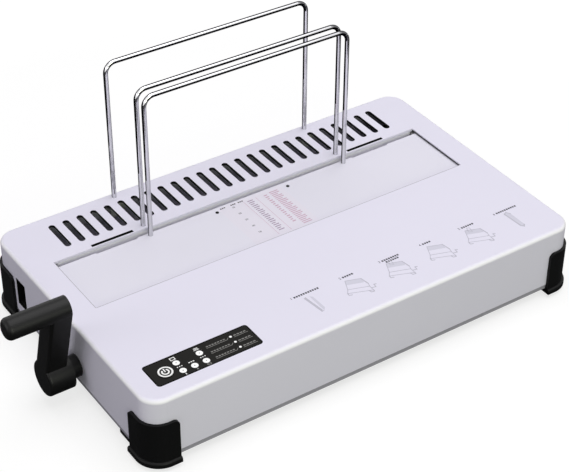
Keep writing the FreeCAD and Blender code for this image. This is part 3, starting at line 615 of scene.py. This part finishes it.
def dressPanel(p):
    low, high = panelHigh[2] - printSink, panelHigh[2] + p["lift"] * mm
    inset = p["borderInset"] * mm
    border = roundedOutline(panelLow[0] + inset, panelHigh[0] - inset,
                            panelLow[1] + inset, panelHigh[1] - inset, p["borderCorner"] * mm)
    c0, c1, c2 = p["lampColumns"]
    r0, r1 = p["lampRows"]

    def dot(x, y, radius, sides):
        return prism(circle(onCase(x, y), radius * mm, sides), low, high)

    def words(row, x, y, band):
        count, start, length, pitch = row
        return barRow(count, x + start, length, pitch, y + band[0], y + band[1], low, high)

    white = [ribbon(casePoints(p["page"], c0, r1), p["pageLine"] * mm, low, high, True)]
    for half, y0, y1 in p["stack"]:
        white.append(caseBar(c2 - half, c2 + half, r1 + y0, r1 + y1, low, high))
    for column in (c0, c2):
        for x in p["dotPlaces"]:
            white.append(dot(column + x, r0 + p["dotRise"], p["dotRadius"], sides=14))
    white += words(p["dashes"], c1, r0, p["dashBand"])
    x0, x1, y0, y1 = p["stem"]
    white.append(caseBar(c0 + x0, c0 + x1, r0 + y0, r0 + y1, low, high))

    grey = [dot(c1, r0 - p["beadDrop"], p["beadRadius"], sides=18),
            ribbon(casePoints(p["slot"], c2, r0), p["slotLine"] * mm, low, high, True)]
    left, right, pilot = p["noteLeft"], p["noteRight"], p["pilotX"]
    line = p["noteLine"] * mm
    for y in p["pilotRows"]:
        under = y - p["noteDrop"]
        grey.append(ribbon([onCase(left, under), *casePoints(p["hook"], pilot, y)], line, low, high))
        grey.append(ribbon(casePoints([(pilot + p["noteGap"], under), (right, under)]), line, low, high))
        grey += words(p["leftWords"], left, y, p["wordBand"])
        grey += words(p["rightWords"], pilot, y, p["wordBand"])
    for column, row in ((c0, r0), (c0, r1), (c1, r0), (c2, r0), (c2, r1)):
        grey.append(dot(column, row, p["lampDot"], sides=16))

    addPiece("panelBorder", [ribbon(border, p["borderWidth"] * mm, low, high, True)],
             "base", made["borderBlack"])
    addPiece("panelMarksWhite", white, "base", made["printWhite"])
    addPiece("panelMarksGrey", grey, "base", made["printGrey"])


# Power button face: a white ring round a white standby mark
buttonPrint = {
    "lift": 0.05,
    "ringInner": 4.75,
    "ringOuter": 6.2,
    "markRadius": 2.75,
    "markWidth": 1.35,
    "gap": 0.62,    # half the opening of the mark, as an angle
    "arcPoints": 28,
    "bar": 1.0,
    "barEnds": (-0.2, 3.9),
}


def dressButton(p):
    x = (buttonLow[0] + buttonHigh[0]) / 2
    y = (buttonLow[1] + buttonHigh[1]) / 2
    low, high = buttonHigh[2] - printSink, buttonHigh[2] + p["lift"] * mm
    middle = (p["ringInner"] + p["ringOuter"]) / 2
    width = (p["ringOuter"] - p["ringInner"]) * mm
    ring = ribbon(circle((x, y), middle * mm, sides=64), width, low, high, True)
    t = np.linspace(np.pi / 2 + p["gap"], 2.5 * np.pi - p["gap"], p["arcPoints"])
    arc = np.array((x, y)) + p["markRadius"] * mm * np.c_[np.cos(t), np.sin(t)]
    half = p["bar"] / 2 * mm
    y0, y1 = [y + end * mm for end in p["barEnds"]]
    mark = [ribbon(arc, p["markWidth"] * mm, low, high), bar(x - half, x + half, y0, y1, low, high)]
    addPiece("buttonMarks", [ring] + mark, "button", made["printWhite"])


# Pictograms in millimetres from a step's centre: dark and shaded outlines, and lines as
# (share of the line's width, extra lift, closed or not, points)
coverPicture = {
    "dark": (((-0.8, -11.6), (1.2, -10.2), (-1.4, 11.2), (-3.6, 10.6)),),
    "shade": ((2.0, -11.0), (4.6, -8.4), (4.2, 8.6), (2.0, 10.4)),
    "lines": ((1.0, 0.0, False, ((-0.8, -11.6), (2.0, -11.0))),),
}
bookPicture = {
    "dark": (),
    "shade": ((-1.2, -9.8), (0.8, -12.2), (2.9, -9.6), (2.8, 8.6), (0.6, 12.6), (-2.4, 11.2)),
    "lines": (
        (2.2, 0.0, False, ((-2.4, 11.2), (-1.2, -9.8), (0.8, -12.2), (2.9, -9.6))),
        (1.4, 0.0, False, ((-2.4, 11.2), (0.6, 12.6), (2.8, 8.6))),
    ),
}
binderPicture = {
    "dark": (),
    "shade": ((-6.9, 5.6), (7.9, 0.8), (8.4, 6.6), (-4.8, 11.0)),
    "lines": (
        (1.0, 0.0, True, ((-9.6, 0.0), (8.5, -6.0), (9.7, -2.4), (8.4, 6.6), (-4.8, 11.0))),
        (1.8, 0.01, False, ((8.4, 6.6), (9.7, -2.4))),
        (1.0, 0.0, False, ((-9.6, 0.0), (-12.6, -4.1), (8.3, -11.9), (8.5, -6.0))),
        (1.5, 0.0, False, ((-12.6, -4.1), (-12.9, -6.7), (-10.0, -7.6))),
        (1.5, 0.0, False, ((4.6, -10.6), (5.3, -13.2), (8.0, -13.6), (8.3, -11.9))),
        (1.5, 0.0, False, ((8.6, -8.6), (12.4, -9.4), (13.0, -5.8), (15.2, -6.6))),
    ),
}
pageLine = (0.8, 0.0, True, ((-3.0, 7.6), (0.2, 6.6), (1.4, 12.4), (-1.4, 13.0)))
pagePicture = dict(binderPicture, lines=binderPicture["lines"] + (pageLine,))

# Steps along the front: open cover, four views of a generic binder, closed book
stepPrint = {
    "pictures": (coverPicture, binderPicture, pagePicture, binderPicture, pagePicture, bookPicture),
    "centres": (176.0, 219.0, 262.0, 305.5, 347.5, 390.0),
    "middleY": 33.5,
    "captionY": 49.3,
    "captionStarts": (-13, -7, -9, -9, -8, -11),
    "captionLengths": (30, 15, 22, 13, 17, 26),
    "captionHalf": 1.0,
    "captionBar": 1.6,
    "captionPitch": 2.3,
    "numeralRoom": 3.0,
    "numeralShift": 2.4,
    "numeralSize": 3.8,
    "longCaption": 2,    # the step whose caption has a second row, two bars shorter
    "rowStep": 3.0,
    "rowShorter": 2,
    "line": 0.6,
    "lift": 0.05,
    "lineLift": 0.02,
}


def dressSteps(p):
    low, high = shellHigh[2] - printSink, shellHigh[2] + p["lift"] * mm
    over = high + p["lineLift"] * mm
    lines = []
    shades = []
    captions = []
    length, pitch, room = p["captionBar"], p["captionPitch"], p["numeralRoom"]
    for step, (picture, x) in enumerate(zip(p["pictures"], p["centres"])):
        y = p["middleY"]
        lines += [prism(casePoints(outline, x, y), low, high) for outline in picture["dark"]]
        shades.append(prism(casePoints(picture["shade"], x, y), low, high))
        for share, extra, closed, points in picture["lines"]:
            width = p["line"] * mm * share
            lines.append(ribbon(casePoints(points, x, y), width, low, over + extra * mm, closed))
        left = x + p["captionStarts"][step] + room
        front, rear = p["captionY"] - p["captionHalf"], p["captionY"] + p["captionHalf"]
        spot = onCase(left - p["numeralShift"], p["captionY"])
        captions.append(numeral(str(step + 1), *spot, p["numeralSize"] * mm, low, high))
        count = int((p["captionLengths"][step] - room) / pitch)
        captions += barRow(count, left, length, pitch, front, rear, low, high)
        if step == p["longCaption"]:
            captions += barRow(count - p["rowShorter"], left + pitch, length, pitch,
                               front - p["rowStep"], rear - p["rowStep"], low, high)
    addPiece("stepShades", shades, "base", made["printShade"])
    addPiece("stepLines", lines, "base", made["printPale"])
    addPiece("stepCaptions", captions, "base", made["printDark"])


# Setting chart on the plate: plain figures at the left, rows of ticks in three columns, two rivets
chartPrint = {
    "lift": 0.05,
    "film": 0.03,
    "label": (183.0, 249.0, 129.5, 195.0),
    "rivets": ((179.7, 189.5), (254.6, 189.5)),
    "rivetRadius": 1.6,
    "rivetHeight": 0.25,
    "figureX": 195.9,
    "figureRows": (188.2, 177.5, 166.7, 155.6, 144.9),
    "figureSize": 3.0,
    "figureStep": 10,
    "headX": (184.5, 195.3, 203.0),
    "headY": 192.4,
    "headHalf": 0.8,
    "headBars": (3, 1.3, 1.9),    # count, length and pitch
    "firstColumn": (210.8, 216.6, 189.5, 136.0, 19),    # left, right, rear, front and count
    "redColumns": ((228.0, 231.5, 189.0, 140.0, 16), (234.6, 243.6, 190.5, 133.0, 23)),
    "tickShare": 0.42,
    "shortEvery": 3,    # every third tick is shorter by this share
    "shortShare": 0.3,
    "rulesX": (207.8, 220.6),
    "rulesY": (190.5, 133.0),
    "ruleWidth": 0.3,
}


def dressChart(p):
    low = plateTop - printSink
    film = plateTop + p["film"] * mm
    high = film + p["lift"] * mm

    def ticks(column):
        x0, x1, y0, y1, count = column
        step = (y0 - y1) / count
        shapes = []
        for k in range(count):
            y = y0 - step * k
            short = k % p["shortEvery"] == p["shortEvery"] - 1
            right = x1 - (x1 - x0) * p["shortShare"] * short
            shapes.append(caseBar(x0, right, y - step * p["tickShare"], y, low, high))
        return shapes

    red = [shape for column in p["redColumns"] for shape in ticks(column)]
    for x in p["rulesX"]:
        rule = casePoints([(x, y) for y in p["rulesY"]])
        red.append(ribbon(rule, p["ruleWidth"] * mm, low, high))
    dark = []
    for k, y in enumerate(p["figureRows"]):
        spot = onCase(p["figureX"], y)
        dark.append(numeral(str(p["figureStep"] * (k + 1)), *spot, p["figureSize"] * mm, low, high))
    count, length, pitch = p["headBars"]
    front, rear = p["headY"] - p["headHalf"], p["headY"] + p["headHalf"]
    for x in p["headX"]:
        dark += barRow(count, x, length, pitch, front, rear, low, high)
    top = high + p["rivetHeight"] * mm
    rivets = [prism(circle(onCase(x, y), p["rivetRadius"] * mm, sides=24), low, top)
              for x, y in p["rivets"]]
    addPiece("chartLabel", [caseBar(*p["label"], low, film)], "jaw", made["labelPink"])
    addPiece("chartScale", ticks(p["firstColumn"]), "jaw", made["printMauve"])
    addPiece("chartTicks", red, "jaw", made["printRed"])
    addPiece("chartFigures", dark, "jaw", made["printDark"])
    addPiece("plateRivets", rivets, "jaw", made["guardBlack"])


# Window edges: a painted shade line along the front and left, a painted shade strip on the right wall
windowTrim = {
    "lift": 0.03,
    "line": 0.55,
    "margin": 25.3,
    "front": 127.5,
    "rear": 200.6,
    "shadeDepth": 0.35,
    "shadeLow": 67.6,
    "shadeHigh": 68.9,
}


def dressWindow(p):
    low, high = shellHigh[2] - printSink, shellHigh[2] + p["lift"] * mm
    width = (shellHigh[0] - shellLow[0]) / mm
    left, right = p["margin"], width - p["margin"]
    front, rear = p["front"], p["rear"]
    # painted shade: thin grey lines on the front and left edges
    edge = [caseBar(left, right, front - p["line"], front, low, high),
            caseBar(left - p["line"], left, front, rear, low, high)]
    # painted shade: a dark strip on the window's right wall
    wallShade = [caseBar(right - p["shadeDepth"], right, front, rear, p["shadeLow"] * mm, p["shadeHigh"] * mm)]
    addPiece("windowShadeLine", edge, "base", made["edgeShadeGrey"])
    addPiece("windowWallShade", wallShade, "base", made["wallShadeDark"])


# Inlet bezel: a thin black lining round the cut in the wall, flush with the inlet behind it
inletTrim = {"flange": 3.5, "thick": 0.45, "setBack": 0.25}


def dressInlet(p):
    inletLow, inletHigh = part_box("power_inlet")
    inset, thick = p["flange"] * mm, p["thick"] * mm
    x0, x1 = shellLow[0] + p["setBack"] * mm, inletLow[0]
    y0, y1 = inletLow[1] + inset, inletHigh[1] - inset
    z0, z1 = inletLow[2] + inset, inletHigh[2] - inset
    sides = [bar(x0, x1, y0, y0 + thick, z0, z1),
             bar(x0, x1, y1 - thick, y1, z0, z1),
             bar(x0, x1, y0 + thick, y1 - thick, z0, z0 + thick),
             bar(x0, x1, y0 + thick, y1 - thick, z1 - thick, z1)]
    addPiece("inletBezel", sides, "base", made["guardBlack"])


dressInlet(inletTrim)
dressWindow(windowTrim)
dressPanel(panelPrint)
dressButton(buttonPrint)
dressSteps(stepPrint)
dressChart(chartPrint)
print("print laid on panel, button, top and plate")


# Studio: pale floor, soft lamps, white surroundings
studio = {
    "floorSize": 7.0,
    "floorColor": (0.32, 0.32, 0.32),
    "floorRough": 0.9,
    "floorSpecular": 0.1,
    "floorLift": 0.72,
    "fadeStart": 0.45,
    "fadeEnd": 1.0,
    "ambient": 0.22,
    "ambientColor": (0.97, 0.97, 1.0),
    "flagReach": 1.3,
    "flagHeight": 0.001,
    "flagColor": (0.02, 0.02, 0.022),
    "flagRough": 1.0,
    "lamps": (    # name, place, target, size, power and colour
        ("overhead", (0.3, -0.1, 2.1), (0.0, 0.0, 0.05), 2.2, 37.0, (1.0, 0.99, 1.0)),
        ("frontFill", (-0.35, -2.4, 0.7), (0.0, 0.0, 0.05), 1.4, 21.5, (0.95, 1.0, 0.81)),
        ("leftFill", (-2.5, 0.2, 0.9), (0.0, 0.0, 0.05), 1.4, 11.0, (1.0, 0.98, 1.0)),
    ),
}


def addSheet(name, reach, height, materialName, color, rough):
    corners = [(-reach, -reach, height), (reach, -reach, height),
               (reach, reach, height), (-reach, reach, height)]
    mesh = bpy.data.meshes.new(name)
    mesh.from_pydata(corners, [], [[0, 1, 2, 3]])
    sheet = bpy.data.objects.new(name, mesh)
    scene.collection.objects.link(sheet)
    material = bpy.data.materials.new(materialName)
    material.use_nodes = True
    shader = material.node_tree.nodes["Principled BSDF"]
    shader.inputs["Base Color"].default_value = (*color, 1)
    shader.inputs["Roughness"].default_value = rough
    mesh.materials.append(material)
    return sheet, material.node_tree, shader


# Floor: to the eye it is lifted by a glow that grows with distance, so the far floor fades to white
def makeFloor(s):
    floor, tree, shader = addSheet("floor", s["floorSize"] / 2, 0.0, "paleFloor",
                                   s["floorColor"], s["floorRough"])
    shader.inputs["Specular IOR Level"].default_value = s["floorSpecular"]
    away = addNode(tree, "ShaderNodeVectorMath", {0: objectPlace(tree)}, operation="LENGTH")
    fade = eased(tree, away.outputs["Value"], s["fadeStart"], s["fadeEnd"], low=s["floorLift"])
    strength = mathNode(tree, "MULTIPLY", seenRays(tree), fade)
    lift = addNode(tree, "ShaderNodeEmission", {"Strength": strength})
    total = addNode(tree, "ShaderNodeAddShader", {0: shader.outputs[0], 1: lift.outputs[0]})
    feed(tree, tree.nodes["Material Output"].inputs["Surface"], total.outputs[0])


# Flag: a dark card on the floor, met by reflections alone
def makeFlag(s):
    flag = addSheet("darkFlag", s["flagReach"], s["flagHeight"], "flagCloth",
                    s["flagColor"], s["flagRough"])[0]
    flag.visible_camera = flag.visible_diffuse = False
    flag.visible_shadow = flag.visible_transmission = False


# Surroundings: white where they are seen, a soft ambient light for everything else
def makeSurroundings(s):
    world = bpy.data.worlds.new("surroundings")
    scene.world = world
    world.use_nodes = True
    tree = world.node_tree
    tree.nodes.clear()
    ambient = addNode(tree, "ShaderNodeBackground",
                      {"Color": (*s["ambientColor"], 1), "Strength": s["ambient"]})
    white = addNode(tree, "ShaderNodeBackground", {"Color": (1, 1, 1, 1)})
    mix = addNode(tree, "ShaderNodeMixShader",
                  {0: seenRays(tree), 1: ambient.outputs[0], 2: white.outputs[0]})
    addNode(tree, "ShaderNodeOutputWorld", {"Surface": mix.outputs[0]})


# Lamps: each is turned from its place toward its target
def makeLamps(s):
    for name, place, target, size, power, color in s["lamps"]:
        lamp = bpy.data.lights.new(name, "AREA")
        lamp.size = size
        lamp.energy = power
        lamp.color = color
        holder = bpy.data.objects.new(name, lamp)
        scene.collection.objects.link(holder)
        holder.location = place
        aim = np.subtract(target, place)
        flat = math.hypot(aim[0], aim[1])
        holder.rotation_euler = (math.atan2(flat, -aim[2]), 0, math.atan2(-aim[0], aim[1]))


# Camera at the photograph's viewpoint, its axis off the picture's centre as in the photograph
photoCamera = {
    "place": (-0.61105, -0.9467, 0.9056),
    "turn": (52.670, -1.294, -35.214),    # degrees
    "sensor": 36,
    "lens": 103.2,
    "shift": (-0.0847, 0.0483),
}


def makeCamera(c):
    camera = bpy.data.cameras.new("photoCamera")
    camera.sensor_width = c["sensor"]
    camera.lens = c["lens"]
    camera.shift_x, camera.shift_y = c["shift"]
    holder = bpy.data.objects.new("photoCamera", camera)
    scene.collection.objects.link(holder)
    holder.location = c["place"]
    holder.rotation_euler = [math.radians(a) for a in c["turn"]]
    scene.camera = holder


makeFloor(studio)
makeFlag(studio)
makeSurroundings(studio)
makeLamps(studio)
makeCamera(photoCamera)
print("studio and camera set")
